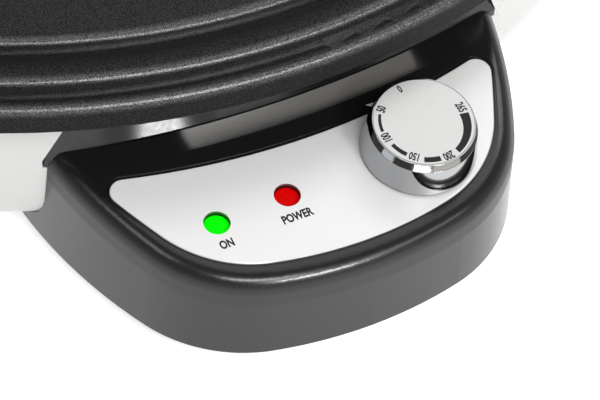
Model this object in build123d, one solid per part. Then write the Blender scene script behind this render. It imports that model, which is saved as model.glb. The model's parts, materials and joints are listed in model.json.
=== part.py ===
from build123d import *
from math import asin, cos, degrees, radians, sin, sqrt, tan
import os

# Electric crepe maker, in millimetres.
# The origin is the middle of the footprint, on the table under the feet.
# +Z is up and the controls face -Y. Every function below works about the cooking plate's
# axis instead, and the export moves the finished pieces onto the origin.

# Cooking plate: a cast disc with two steps down to an overhanging rim
RIM_RADIUS = 182.5
RIM_HEIGHT = 54.9
OUTER_STEP_INSET = 1.6
OUTER_STEP_RISE = 6.6
MIDDLE_STEP_INSET = 7.1
MIDDLE_STEP_RISE = 10.1
DISC_INSET = 17.3
DISC_RISE = 12.3
STEP_RUN = 1.7
STEP_DISH = 0.3
PLATE_THICKNESS = 6.5
SKIRT_WALL = 3.8
STEP_ROUND = 1.5
STEP_HOLLOW = 2.5
RIM_EDGE_ROUND = 0.5

# Base pan and feet
FOOT_HEIGHT = 6.0
FOOT_RADIUS = 12.0
FOOT_TAPER = 1.5
FOOT_INSET = 34.0
FOOT_ANGLES = (60, 120, 240, 300)
PAN_INSET = 8.5
PAN_HEIGHT = 44.0
PAN_CORNER = 15.0
PAN_SHEET = 1.2
PAN_FLANGE = 5.0
VENT_COUNT = 10
VENT_CIRCLE_RADIUS = 78.0
VENT_LENGTH = 30.0
VENT_WIDTH = 3.2

# Control housing
HOUSING_REACH = 45.5
FRONT_ARC = 111.8
CORNER_ARC = 36.9
SIDE_ARC = 127.5
FRONT_ARC_END = 77.1
CORNER_ARC_END = 26.9
HOUSING_TUCK = 24.0
HOUSING_WALL = 2.5
HOUSING_ROOF = 2.8
HOUSING_DRAFT = 2.5
HOUSING_BULLNOSE = 4.6
FRONT_TOP_HEIGHT = 24.4
TOP_TILT = 6.0
CREASE_SETBACK = 4.4
CREASE_ARC = 296.0
COLLAR_HALF_WIDTH = 60.7
COLLAR_DRAFT = 23.0
COLLAR_WALL = 2.2
COLLAR_TUCK = 17.0
COVER_SHEET = 2.5
BOSS_RADIUS = 4.0
COVER_SCREW_SPOTS = ((0.0, 9.5), (49.5, 39.5), (-49.5, 39.5))
COVER_SCREW_DEPTH = 10.0
EAR_INSET = 8.2
EAR_WIDTH = 21.6
EAR_LENGTH = 26.0
EAR_HEIGHT = 11.0
EAR_SCREW_DEPTH = 9.0
EAR_SCREW_DROP = 1.4
TONGUE_INSET = 1.0
WINDOW_INSET = 14.7

# Control panel, lamps and knob, placed by their distance from the housing's front
PANEL_BORDER = 6.95
PANEL_CORNER_ARC = 31.5
PANEL_SIDE_ARC = 232.0
PANEL_BACK_ARC = 195.0
PANEL_BACK_GAP = 7.3
PANEL_CORNER = 3.6
PANEL_SHEET = 1.0
PANEL_PROUD = 0.2
PANEL_BEVEL = 0.3
RECESS_STEP = 0.5
RECESS_STEP_DEPTH = 0.3
LAMP_HOLE_RADIUS = 3.25
GREEN_LAMP = (-30.7, 24.3)
RED_LAMP = (-11.9, 25.1)
LENS_RECESS = 1.5
LENS_FLANGE = 1.2
LENS_FLANGE_WIDTH = 1.1
NEON_RADIUS = 2.2
NEON_LENGTH = 10.0
HOLDER_SHEET = 2.0
HOLDER_WIDTH = 12.0
HOLDER_BOSS_DROP = 5.4
HOLDER_BOSS_RADIUS = 3.0
HOLDER_BOSS_REACH = 7.6
KNOB_SPOT = (23.3, 25.55)
KNOB_FOOT_RADIUS = 14.3
KNOB_WAIST_RADIUS = 13.2
KNOB_FACE_RADIUS = 12.45
KNOB_HEIGHT = 11.1
KNOB_BEVEL = 2.2
KNOB_WALL = 1.6
KNOB_LIFT = 0.4
KNOB_BOSS_RADIUS = 5.4
KNOB_SHOULDER_ROUND = 1.2
KNOB_FOOT_ROUND = 0.4
FACE_SHEET = 0.6
FACE_LIP = 0.3
SPRING_SHEET = 0.4
SPRING_WIDTH = 3.6

# Thermostat
SHAFT_RADIUS = 3.0
SHAFT_FLAT = 1.0
BUSHING_RADIUS = 4.7
BUSHING_RISE = 4.0
BUSHING_NUT = (14.0, 2.4)
STAT_WIDTH = 28.0
STAT_DEPTH = 26.0
STAT_HEIGHT = 15.0
STAT_BORE_DEPTH = 6.5
TAB_SPACING = 16.0
TAB_WIDTH = 6.3
TAB_SHEET = 0.8
TAB_LENGTH = 7.0
TAB_DROP = 7.2
CONNECTOR = (7.2, 12.0, 3.0)

# Heating, placed inward from the pan's wall
ELEMENT_RADIUS = 3.25
ELEMENT_RING_INSET = 59.0
ELEMENT_TAIL_X = 14.0
ELEMENT_BEND = 14.0
ELEMENT_TAIL_RUN = 14.0
RIDGE_WIDTH = 14.0
RIDGE_DEPTH = 5.0
BEAD_LENGTH = 3.0
PIN_RADIUS = 1.2
PIN_LENGTH = 12.0
CLAMP_ANGLES = (45, 135, 225, 315)
CLAMP_HALF_SPAN = 17.0
CLAMP_WIDTH = 14.0
CLAMP_SHEET = 1.2
CLAMP_END = 6.0
SHIELD_INSET = 16.0
SHIELD_HEIGHT = 30.0
SHIELD_SHEET = 0.6
SHIELD_LIP = 8.0
SHIELD_CUT_INSET = 30.0
STANDOFF_INSET = 26.0
STANDOFF_ANGLES = (30, 150, 210, 330)
STANDOFF_RADIUS = 5.0
BULB_RADIUS = 2.5
BULB_LENGTH = 60.0
BULB_FRONT = 70.0
CLIP_SHEET = 1.0
CLIP_LENGTH = 12.0
CLIP_HALF_SPAN = 8.5
CAPILLARY_RADIUS = 0.8
FUSE_SPOT = (-45.0, 36.0)
FUSE_RADIUS = 2.4
FUSE_LENGTH = 14.0
FUSE_BOSS_OFFSET = 8.5

# Wiring, placed inward from the pan's wall
WIRE_RADIUS = 1.4
LAMP_LEAD_RADIUS = 0.6
LAMP_LEAD_GAP = 2.4
BLOCK = (30.0, 16.0, 13.0)
BLOCK_INSET = 49.0
POLE_SPACING = 9.0
POLE_HEIGHT = 6.3
WELL_RADIUS = 1.5
BLOCK_SCREW_DEPTH = 8.0
TAG_RADIUS = 4.6
TAG_BARREL = 6.0
EARTH_SPOT = (-30.0, 77.0)
INLET_HEIGHT = 22.0
CORD_BORE_RADIUS = 3.75
BUSH_RADIUS = 6.8
BUSH_FLANGE_RADIUS = 9.0
BUSH_FLANGE = 2.5
BUSH_DEPTH = 6.0

# Screws: shank radius, head radius, head height
M5 = (2.45, 4.6, 2.8)
M4 = (1.95, 3.8, 2.4)
M35 = (1.7, 3.4, 2.0)
M3 = (1.25, 2.9, 1.8)

# Nuts: across flats, height
M4_NUT = (7.0, 3.2)

# Clearances
THREAD_GAP = 0.05
HOLE_GAP = 0.3
GROOVE_GAP = 0.1
PAN_GAP = 0.2
COVER_GAP = 0.35
PANEL_GAP = 0.35
COLLAR_GAP = 0.4
RUNNING_GAP = 0.05
SEAT_GAP = 0.1
END_GAP = 0.5
LIP_THICKNESS = 0.5

# Radii and distances from the plate's axis that follow from the sizes above
OUTER_STEP_RADIUS = RIM_RADIUS - OUTER_STEP_INSET
MIDDLE_STEP_RADIUS = RIM_RADIUS - MIDDLE_STEP_INSET
DISC_RADIUS = RIM_RADIUS - DISC_INSET
PAN_RADIUS = RIM_RADIUS - PAN_INSET
FRONT_REACH = PAN_RADIUS + HOUSING_REACH
HOUSING_BACK = PAN_RADIUS - HOUSING_TUCK
COLLAR_BACK = PAN_RADIUS - COLLAR_TUCK
SHIELD_RADIUS = PAN_RADIUS - SHIELD_INSET
SHIELD_CUT = PAN_RADIUS - SHIELD_CUT_INSET
STANDOFF_CIRCLE = PAN_RADIUS - STANDOFF_INSET
FOOT_CIRCLE = PAN_RADIUS - FOOT_INSET
ELEMENT_RING_RADIUS = PAN_RADIUS - ELEMENT_RING_INSET
ELEMENT_BEND_X = ELEMENT_TAIL_X + ELEMENT_BEND
ELEMENT_BEND_Y = sqrt((ELEMENT_RING_RADIUS + ELEMENT_BEND) ** 2 - ELEMENT_BEND_X**2)
ELEMENT_TAIL_END = ELEMENT_BEND_Y + ELEMENT_TAIL_RUN
FUSE_Y = FUSE_SPOT[1] - PAN_RADIUS
BLOCK_Y = PAN_RADIUS - BLOCK_INSET
EARTH_Y = PAN_RADIUS - EARTH_SPOT[1]
PLATE_Y = (FRONT_REACH - RIM_RADIUS) / 2

# Heights and planes that follow from the sizes above
UNDERSIDE = RIM_HEIGHT + DISC_RISE - PLATE_THICKNESS
ELEMENT_Z = UNDERSIDE - RIDGE_DEPTH
CLAMP_Z = ELEMENT_Z - ELEMENT_RADIUS
PAN_FLOOR = FOOT_HEIGHT + PAN_SHEET
PAN_TOP = FOOT_HEIGHT + PAN_HEIGHT
SHIELD_Z = FOOT_HEIGHT + SHIELD_HEIGHT
TOP = Plane(
    origin=(0, -FRONT_REACH, FOOT_HEIGHT + FRONT_TOP_HEIGHT),
    x_dir=(1, 0, 0),
    z_dir=(0, -sin(radians(TOP_TILT)), cos(radians(TOP_TILT))),
)
FLOOR_RUN = PAN_FLOOR + 2.8
BIG = 600.0


def cyl(radius, low, high, spot=(0.0, 0.0)):
    """An upright cylinder between two heights."""
    base = Align.CENTER, Align.CENTER, Align.MIN
    return Pos(spot[0], spot[1], low) * Cylinder(radius, high - low, align=base)


def block(width, depth, low, high, spot=(0.0, 0.0)):
    """An upright box between two heights."""
    base = Align.CENTER, Align.CENTER, Align.MIN
    return Pos(spot[0], spot[1], low) * Box(width, depth, high - low, align=base)


def polar(radius, angle):
    return radius * cos(radians(angle)), radius * sin(radians(angle))


def top_height(setback):
    """Height of the housing's top plane at a distance behind the housing's front."""
    return FOOT_HEIGHT + FRONT_TOP_HEIGHT + setback * tan(radians(TOP_TILT))


def on_top(spot):
    """A frame on the housing's top plane, with its z axis square to that plane."""
    origin = (spot[0], spot[1] - FRONT_REACH, top_height(spot[1]))
    return Plane(origin=origin, x_dir=(1, 0, 0), z_dir=TOP.z_dir)


def screw(size, length):
    """A pan-head screw. Its shank points along +Z and its head lies under z = 0."""
    shank, head, height = size
    body = cyl(shank, 0, length) + cyl(head, -height, 0)
    rim = body.faces().sort_by(Axis.Z)[0].edges()
    body = fillet(rim, height * 0.4)
    slot = Pos(0, 0, -height) * Box(head * 1.3, head * 0.25, height * 0.7)
    return body - slot


def hole(size, gap, low, high, spot=(0.0, 0.0)):
    return cyl(size[0] + gap, low, high, spot)


def hex_nut(across, height, bore):
    return extrude(RegularPolygon(across / 2, 6, major_radius=False), height) - cyl(bore, 0, height)


def wire(points, radius):
    """A round wire along a route, with an arc at each corner as large as its two runs allow."""
    spots = [Vector(*p) for p in points]
    bends = []
    for before, here, after in zip(spots, spots[1:], spots[2:]):
        arrive = here - before
        leave = after - here
        turn = radians(arrive.get_angle(leave))
        bends.append(0.45 * min(arrive.length, leave.length) / tan(turn / 2))
    path = FilletPolyline(*spots, radius=bends) if bends else Line(*spots)
    start = Plane(origin=path @ 0, z_dir=path % 0)
    return sweep(start * Circle(radius), path=path)


# Cooking plate


def plate_turned_shape():
    top = RIM_HEIGHT + DISC_RISE
    middle = RIM_HEIGHT + MIDDLE_STEP_RISE
    outer = RIM_HEIGHT + OUTER_STEP_RISE
    inner_skirt = RIM_RADIUS - SKIRT_WALL
    outline = Polyline(
        (0, UNDERSIDE),
        (0, top),
        (DISC_RADIUS, top),
        (DISC_RADIUS + STEP_RUN, middle - STEP_DISH),
        (MIDDLE_STEP_RADIUS, middle),
        (MIDDLE_STEP_RADIUS + STEP_RUN, outer - STEP_DISH),
        (OUTER_STEP_RADIUS, outer),
        (RIM_RADIUS, RIM_HEIGHT),
        (inner_skirt, RIM_HEIGHT),
        (inner_skirt - STEP_RUN, UNDERSIDE),
        close=True,
    )
    face = make_face(outline)
    for radius in (DISC_RADIUS, MIDDLE_STEP_RADIUS, OUTER_STEP_RADIUS):
        face = fillet(corners_at(face, radius), STEP_ROUND)
    for radius in (DISC_RADIUS, MIDDLE_STEP_RADIUS):
        face = fillet(corners_at(face, radius + STEP_RUN), STEP_HOLLOW)
    face = fillet(corners_at(face, RIM_RADIUS), RIM_EDGE_ROUND)
    return revolve(Plane.XZ * face, Axis.Z)


def element_path():
    """A ring open at the front, with two straight tails that run forward out of it."""
    touch = degrees(asin(ELEMENT_BEND_Y / (ELEMENT_RING_RADIUS + ELEMENT_BEND)))
    right_tail = Line((ELEMENT_TAIL_X, -ELEMENT_TAIL_END), (ELEMENT_TAIL_X, -ELEMENT_BEND_Y))
    right_bend = CenterArc((ELEMENT_BEND_X, -ELEMENT_BEND_Y), ELEMENT_BEND, 180, -touch)
    ring = CenterArc((0, 0), ELEMENT_RING_RADIUS, -touch, 180 + 2 * touch)
    left_bend = CenterArc((-ELEMENT_BEND_X, -ELEMENT_BEND_Y), ELEMENT_BEND, touch, -touch)
    left_tail = Line((-ELEMENT_TAIL_X, -ELEMENT_BEND_Y), (-ELEMENT_TAIL_X, -ELEMENT_TAIL_END))
    flat = Wire([right_tail, right_bend, ring, left_bend, left_tail])
    return Pos(0, 0, ELEMENT_Z) * flat


def element_tube(radius):
    start = Plane(origin=(ELEMENT_TAIL_X, -ELEMENT_TAIL_END, ELEMENT_Z), z_dir=(0, 1, 0))
    return sweep(start * Circle(radius), path=element_path())


def clamp_spots():
    return [polar(ELEMENT_RING_RADIUS + reach, angle) for angle in CLAMP_ANGLES
            for reach in (-CLAMP_HALF_SPAN, CLAMP_HALF_SPAN)]


def clip_spots():
    y = -BULB_FRONT + BULB_LENGTH / 2
    return [(-CLIP_HALF_SPAN, y), (CLIP_HALF_SPAN, y)]


def fuse_boss_spot():
    return FUSE_SPOT[0], FUSE_Y + FUSE_BOSS_OFFSET


def cooking_plate():
    """The cast disc with its element ridge and screw bosses underneath."""
    plate = plate_turned_shape()
    ridge_in = ELEMENT_RING_RADIUS - RIDGE_WIDTH / 2
    ridge = cyl(ridge_in + RIDGE_WIDTH, ELEMENT_Z, UNDERSIDE) - cyl(ridge_in, ELEMENT_Z, UNDERSIDE)
    front_gap = 2 * (ELEMENT_TAIL_X + ELEMENT_RADIUS + END_GAP)
    ridge -= block(front_gap, ELEMENT_RING_RADIUS, ELEMENT_Z, UNDERSIDE, (0, -ELEMENT_RING_RADIUS))
    plate += ridge
    for spot in clamp_spots():
        plate += cyl(M35[1] + 1, CLAMP_Z, UNDERSIDE, spot)
    for angle in STANDOFF_ANGLES:
        plate += cyl(STANDOFF_RADIUS + 2, ELEMENT_Z, UNDERSIDE, polar(STANDOFF_CIRCLE, angle))
    bulb_bottom = UNDERSIDE - SEAT_GAP - 2 * BULB_RADIUS
    for spot in clip_spots():
        plate += cyl(M3[1] + 0.6, bulb_bottom, UNDERSIDE, spot)
    fuse_bottom = UNDERSIDE - SEAT_GAP - 2 * FUSE_RADIUS
    plate += cyl(M3[1] + 0.6, fuse_bottom, UNDERSIDE, fuse_boss_spot())
    plate -= element_tube(ELEMENT_RADIUS + GROOVE_GAP)
    hole_top = UNDERSIDE + PLATE_THICKNESS / 3
    for spot in clamp_spots():
        plate -= hole(M35, THREAD_GAP, CLAMP_Z, hole_top, spot)
    for angle in STANDOFF_ANGLES:
        plate -= hole(M5, THREAD_GAP, ELEMENT_Z, hole_top, polar(STANDOFF_CIRCLE, angle))
    for spot in clip_spots():
        plate -= hole(M3, THREAD_GAP, bulb_bottom, hole_top, spot)
    plate -= hole(M3, THREAD_GAP, fuse_bottom, hole_top, fuse_boss_spot())
    return plate


# Heating element and what holds it


def heating_element():
    return element_tube(ELEMENT_RADIUS)


def tail_end(side, reach):
    """The point a distance beyond an element tail's end."""
    return side * ELEMENT_TAIL_X, -ELEMENT_TAIL_END - reach, ELEMENT_Z


def along_tail(radius, side, start, length):
    frame = Plane(origin=tail_end(side, start), x_dir=(1, 0, 0), z_dir=(0, -1, 0))
    return frame * cyl(radius, 0, length)


def element_beads():
    beads = []
    for side in (-1, 1):
        bead = along_tail(ELEMENT_RADIUS * 0.8, side, 0, BEAD_LENGTH)
        beads.append(bead - along_tail(PIN_RADIUS, side, 0, BEAD_LENGTH))
    return beads


def element_pins():
    return [along_tail(PIN_RADIUS, side, 0, BEAD_LENGTH + PIN_LENGTH) for side in (-1, 1)]


def element_clamps():
    """Steel straps that hold the element in its groove, with their ends on the plate's bosses."""
    straps = []
    for angle in CLAMP_ANGLES:
        length = 2 * (CLAMP_HALF_SPAN + CLAMP_END)
        strap = block(length, CLAMP_WIDTH, -CLAMP_SHEET, 0)
        strap = fillet(strap.edges().filter_by(Axis.Z), CLAMP_WIDTH / 3)
        for side in (-1, 1):
            strap -= hole(M35, HOLE_GAP, -CLAMP_SHEET, 0, (side * CLAMP_HALF_SPAN, 0))
        straps.append(Pos(0, 0, CLAMP_Z) * Rot(0, 0, angle) * Pos(ELEMENT_RING_RADIUS, 0, 0) * strap)
    return straps


def plate_screw_length(size, start):
    """Length of a screw that stops short of the floor of the plate's blind holes."""
    return UNDERSIDE + PLATE_THICKNESS / 3 - END_GAP - start


def element_clamp_screws():
    start = CLAMP_Z - CLAMP_SHEET
    one = screw(M35, plate_screw_length(M35, start))
    return [Pos(x, y, start) * one for x, y in clamp_spots()]


def heat_shield():
    """A shallow steel dish between the element and the pan, cut off straight where the wires pass."""
    dish = cyl(SHIELD_RADIUS, SHIELD_Z, SHIELD_Z + SHIELD_LIP)
    dish -= cyl(SHIELD_RADIUS - SHIELD_SHEET, SHIELD_Z + SHIELD_SHEET, SHIELD_Z + SHIELD_LIP)
    for angle in STANDOFF_ANGLES:
        dish -= hole(M5, HOLE_GAP, SHIELD_Z, SHIELD_Z + SHIELD_SHEET, polar(STANDOFF_CIRCLE, angle))
    cut_y = -SHIELD_CUT - SHIELD_RADIUS / 2
    return dish - block(BIG, SHIELD_RADIUS, 0, PAN_TOP, (0, cut_y))


def spacers(low, high):
    tubes = []
    for angle in STANDOFF_ANGLES:
        spot = polar(STANDOFF_CIRCLE, angle)
        tubes.append(cyl(STANDOFF_RADIUS, low, high, spot) - hole(M5, HOLE_GAP, low, high, spot))
    return tubes


def lower_spacers():
    return spacers(PAN_FLOOR, SHIELD_Z)


def upper_spacers():
    return spacers(SHIELD_Z + SHIELD_SHEET, ELEMENT_Z)


def plate_screws():
    one = screw(M5, plate_screw_length(M5, FOOT_HEIGHT))
    return [Pos(*polar(STANDOFF_CIRCLE, angle), FOOT_HEIGHT) * one for angle in STANDOFF_ANGLES]


def bulb_z():
    return UNDERSIDE - SEAT_GAP - BULB_RADIUS


def sensor_bulb():
    frame = Plane(origin=(0, -BULB_FRONT, bulb_z()), x_dir=(1, 0, 0), z_dir=(0, 1, 0))
    bulb = frame * cyl(BULB_RADIUS, 0, BULB_LENGTH)
    return fillet(bulb.edges(), BULB_RADIUS * 0.4)


def strap_under(low, half_span, length):
    strap = block(2 * half_span + 2 * M3[1] + 1, length, low - CLIP_SHEET, low)
    return fillet(strap.edges().filter_by(Axis.Z), length / 4)


def sensor_clip():
    low = bulb_z() - BULB_RADIUS
    clip = Pos(0, -BULB_FRONT + BULB_LENGTH / 2, 0) * strap_under(low, CLIP_HALF_SPAN, CLIP_LENGTH)
    for spot in clip_spots():
        clip -= hole(M3, HOLE_GAP, low - CLIP_SHEET, low, spot)
    return clip


def sensor_clip_screws():
    start = bulb_z() - BULB_RADIUS - CLIP_SHEET
    one = screw(M3, plate_screw_length(M3, start))
    return [Pos(x, y, start) * one for x, y in clip_spots()]


def fuse_z():
    return UNDERSIDE - SEAT_GAP - FUSE_RADIUS


def thermal_fuse():
    left_end = FUSE_SPOT[0] - FUSE_LENGTH / 2, FUSE_Y, fuse_z()
    frame = Plane(origin=left_end, x_dir=(0, 1, 0), z_dir=(1, 0, 0))
    fuse = frame * cyl(FUSE_RADIUS, 0, FUSE_LENGTH)
    return chamfer(fuse.edges(), FUSE_RADIUS * 0.2)


def fuse_clip():
    low = fuse_z() - FUSE_RADIUS
    x, y = fuse_boss_spot()
    length = FUSE_BOSS_OFFSET + M3[1] + FUSE_RADIUS + 1
    clip = block(2 * M3[1] + 1, length, low - CLIP_SHEET, low, (x, y + M3[1] - length / 2))
    clip = fillet(clip.edges().filter_by(Axis.Z), M3[1] * 0.7)
    return clip - hole(M3, HOLE_GAP, low - CLIP_SHEET, low, (x, y))


def fuse_clip_screw():
    start = fuse_z() - FUSE_RADIUS - CLIP_SHEET
    return Pos(*fuse_boss_spot(), start) * screw(M3, plate_screw_length(M3, start))


# Base pan and feet


def pan_profile(gap, high):
    """Half section of the pan's outside, grown by a gap, from the axis to the wall."""
    radius = PAN_RADIUS + gap
    low = FOOT_HEIGHT - gap
    corner = PAN_CORNER + gap
    floor = Line((0, low), (radius - corner, low))
    bend = CenterArc((radius - corner, low + corner), corner, -90, 90)
    rest = Polyline((radius, low + corner), (radius, high), (0, high), (0, low))
    return make_face(Wire([floor, bend, *rest.edges()]))


def pan_envelope(gap, high=PAN_TOP):
    return revolve(Plane.XZ * pan_profile(gap, high), Axis.Z)


def housing_screw_spots():
    """Angles around the pan where the housing is screwed to its wall."""
    half = degrees(asin((COLLAR_HALF_WIDTH - EAR_INSET) / PAN_RADIUS))
    return -90 - half, -90 + half


def housing_screw_height():
    return top_height(FRONT_REACH - PAN_RADIUS) - HOUSING_ROOF - M4[1] - COLLAR_GAP - EAR_SCREW_DROP


def wall_frame(angle, radius):
    """A frame on the pan's wall with its z axis pointing out of the wall."""
    x, y = polar(radius, angle)
    out = (cos(radians(angle)), sin(radians(angle)), 0)
    return Plane(origin=(x, y, housing_screw_height()), x_dir=(0, 0, 1), z_dir=out)


def window_half_width():
    return COLLAR_HALF_WIDTH - WINDOW_INSET


def window_low():
    return FOOT_HEIGHT + PAN_CORNER + PAN_SHEET


def pan_notch():
    """What the housing's collar and the wiring window take out of the pan's wall."""
    low = top_height(FRONT_REACH - PAN_RADIUS) - HOUSING_ROOF - COLLAR_GAP
    depth = 3 * (FRONT_REACH - PAN_RADIUS)
    footprint = Rectangle(2 * (COLLAR_HALF_WIDTH + COLLAR_GAP), depth)
    start = collar_base()
    upper = Pos(0, -PAN_RADIUS, start) * extrude(footprint, PAN_TOP - start + 1, taper=COLLAR_DRAFT)
    lower = block(2 * (COLLAR_HALF_WIDTH + COLLAR_GAP), depth, low, start, (0, -PAN_RADIUS))
    window = block(2 * window_half_width(), depth, window_low(), start, (0, -PAN_RADIUS))
    return upper + lower + window


def base_pan():
    inside_radius = PAN_RADIUS - PAN_SHEET
    pan = pan_envelope(0) - pan_envelope(-PAN_SHEET, PAN_TOP - PAN_SHEET)
    pan -= cyl(PAN_RADIUS - PAN_FLANGE, PAN_TOP - 2 * PAN_SHEET, PAN_TOP)
    pan -= pan_notch()
    for angle in STANDOFF_ANGLES:
        pan -= hole(M5, HOLE_GAP, FOOT_HEIGHT, PAN_FLOOR, polar(STANDOFF_CIRCLE, angle))
    for angle in FOOT_ANGLES:
        pan -= hole(M4, HOLE_GAP, FOOT_HEIGHT, PAN_FLOOR, polar(FOOT_CIRCLE, angle))
    vent = extrude(SlotOverall(VENT_LENGTH, VENT_WIDTH), PAN_SHEET)
    for turn in range(VENT_COUNT):
        angle = 360 * (turn + 0.5) / VENT_COUNT
        pan -= Pos(0, 0, FOOT_HEIGHT) * Rot(0, 0, angle) * Pos(VENT_CIRCLE_RADIUS, 0, 0) * vent
    for angle in housing_screw_spots():
        pan -= wall_frame(angle, inside_radius) * cyl(M4[0] + HOLE_GAP, -1, PAN_SHEET + 1)
    pan -= inlet_frame() * cyl(BUSH_RADIUS + GROOVE_GAP, -2 * PAN_SHEET, 1)
    for spot in block_screw_spots():
        pan -= hole(M3, HOLE_GAP, FOOT_HEIGHT, PAN_FLOOR, spot)
    pan -= hole(M4, THREAD_GAP, FOOT_HEIGHT, PAN_FLOOR, earth_spot())
    return pan


def foot_head_room():
    return M4[2] + 1.0


def rubber_feet():
    feet = []
    for angle in FOOT_ANGLES:
        base = Align.CENTER, Align.CENTER, Align.MIN
        foot = Cone(FOOT_RADIUS - FOOT_TAPER, FOOT_RADIUS, FOOT_HEIGHT, align=base)
        foot = fillet(foot.edges().sort_by(Axis.Z)[0], 1.0)
        foot -= cyl(M4[1] + HOLE_GAP, 0, foot_head_room())
        foot -= hole(M4, HOLE_GAP, 0, FOOT_HEIGHT)
        feet.append(Pos(*polar(FOOT_CIRCLE, angle), 0) * foot)
    return feet


def foot_screws():
    length = PAN_FLOOR + M4_NUT[1] + END_GAP - foot_head_room()
    one = screw(M4, length)
    return [Pos(*polar(FOOT_CIRCLE, angle), foot_head_room()) * one for angle in FOOT_ANGLES]


def foot_nuts():
    nut = hex_nut(*M4_NUT, M4[0] + THREAD_GAP)
    return [Pos(*polar(FOOT_CIRCLE, angle), PAN_FLOOR) * nut for angle in FOOT_ANGLES]


def inlet_frame():
    """A frame at the back of the pan's wall, pointing out along the cord's way."""
    origin = (0, PAN_RADIUS, FOOT_HEIGHT + INLET_HEIGHT)
    return Plane(origin=origin, x_dir=(1, 0, 0), z_dir=(0, 1, 0))


def cord_bush():
    """The plastic bush that the mains cord would pass through."""
    barrel = cyl(BUSH_RADIUS, -BUSH_DEPTH, BUSH_FLANGE)
    flange = cyl(BUSH_FLANGE_RADIUS, SEAT_GAP / 2, BUSH_FLANGE)
    flange = fillet(flange.edges().sort_by(Axis.Z)[-1], BUSH_FLANGE * 0.4)
    snap = cyl(BUSH_RADIUS + 0.9, -BUSH_DEPTH + 1, -PAN_SHEET - SEAT_GAP - 0.3)
    return inlet_frame() * (barrel + flange + snap - cyl(CORD_BORE_RADIUS, -BUSH_DEPTH, BUSH_FLANGE))


# Control housing


def outward(angle):
    """Unit vector square to the housing's outline where the outline heads this way."""
    return Vector(cos(radians(angle)), -sin(radians(angle)))


def three_arcs(front_arc, corner_arc, side_arc):
    """A plan outline of front, corner and side arcs in tangent, closed behind by a line."""
    front = Vector(0, FRONT_ARC - FRONT_REACH)
    corner = front + (front_arc - corner_arc) * outward(FRONT_ARC_END)
    side = corner + (corner_arc - side_arc) * outward(CORNER_ARC_END)
    last = degrees(asin((-HOUSING_BACK - side.Y) / side_arc))
    half = [
        CenterArc(front, front_arc, -90, 90 - FRONT_ARC_END),
        CenterArc(corner, corner_arc, -FRONT_ARC_END, FRONT_ARC_END - CORNER_ARC_END),
        CenterArc(side, side_arc, -CORNER_ARC_END, CORNER_ARC_END + last),
    ]
    other = [edge.mirror(Plane.YZ) for edge in half]
    back = Line(half[-1] @ 1, other[-1] @ 1)
    return make_face(Wire([*half, *other, back]))


def housing_outline(inset):
    return three_arcs(FRONT_ARC - inset, CORNER_ARC - inset, SIDE_ARC - inset)


def under_top(depth):
    """Everything lower than a plane that lies this far under the housing's top plane."""
    return TOP * Pos(0, 0, -depth - BIG / 2) * Box(BIG, BIG, BIG)


def top_slab(low, high):
    return TOP * Pos(0, 0, (low + high) / 2) * Box(BIG, BIG, high - low)


def housing_prism(inset):
    height = top_height(FRONT_REACH - HOUSING_BACK) + HOUSING_ROOF
    return Pos(0, 0, FOOT_HEIGHT) * extrude(housing_outline(inset), height, taper=HOUSING_DRAFT)


def housing_block():
    """The solid form of the housing with its rounded top edge."""
    solid = housing_prism(0) & under_top(0)
    rim = []
    for edge in solid.edges():
        middle = TOP.to_local_coords(edge.center())
        on_plane = abs(middle.Z) < 0.2 and abs(TOP.to_local_coords(edge @ 0).Z) < 0.001
        if on_plane and edge.center().Y < -HOUSING_BACK - 1:
            rim.append(edge)
    return fillet(rim, HOUSING_BULLNOSE)


def collar_base():
    return top_height(FRONT_REACH - PAN_RADIUS) - 0.6


def collar_footprint(inset):
    reach = PAN_RADIUS - CREASE_SETBACK
    circle = Pos(0, CREASE_ARC - reach) * Circle(CREASE_ARC - inset)
    return circle & Pos(0, -reach) * Rectangle(2 * (COLLAR_HALF_WIDTH - inset), BIG / 8)


def collar(inset, low, high):
    """The raised back of the housing that fills the notch in the pan's wall."""
    base = collar_base()
    solid = Pos(0, 0, base) * extrude(collar_footprint(inset), high - base, taper=COLLAR_DRAFT)
    solid += Pos(0, 0, low) * extrude(collar_footprint(inset), base - low)
    return solid & block(BIG, BIG, 0, BIG, (0, -COLLAR_BACK - BIG / 2))


def pan_side(gap):
    """What the housing leaves free for the pan: its outside and the thin space under its corner."""
    lip_run = sqrt(PAN_CORNER**2 - (PAN_CORNER - LIP_THICKNESS) ** 2)
    inner = PAN_RADIUS - PAN_CORNER + lip_run
    return pan_envelope(gap, BIG / 4) + cyl(inner + gap, 0, BIG / 4)


def housing_ears():
    """Two blocks inside the side walls that take the screws from the pan's wall."""
    low = housing_screw_height() - EAR_HEIGHT / 2
    ears = []
    for angle in housing_screw_spots():
        x, y = polar(PAN_RADIUS, angle)
        side = 1 if x > 0 else -1
        middle = x + side * (EAR_WIDTH / 2 - M4[1] - 1)
        ears.append(block(EAR_WIDTH, EAR_LENGTH, low, low + EAR_HEIGHT, (middle, y)))
    return ears


def cover_screw_spots():
    return [(x, setback - FRONT_REACH) for x, setback in COVER_SCREW_SPOTS]


def tongue_block():
    """The stretch of roof that runs back under the collar."""
    front = PAN_RADIUS + PAN_SHEET
    middle = -(front + COLLAR_BACK) / 2
    return block(2 * (COLLAR_HALF_WIDTH - TONGUE_INSET), front - COLLAR_BACK, 0, BIG, (0, middle))


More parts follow.
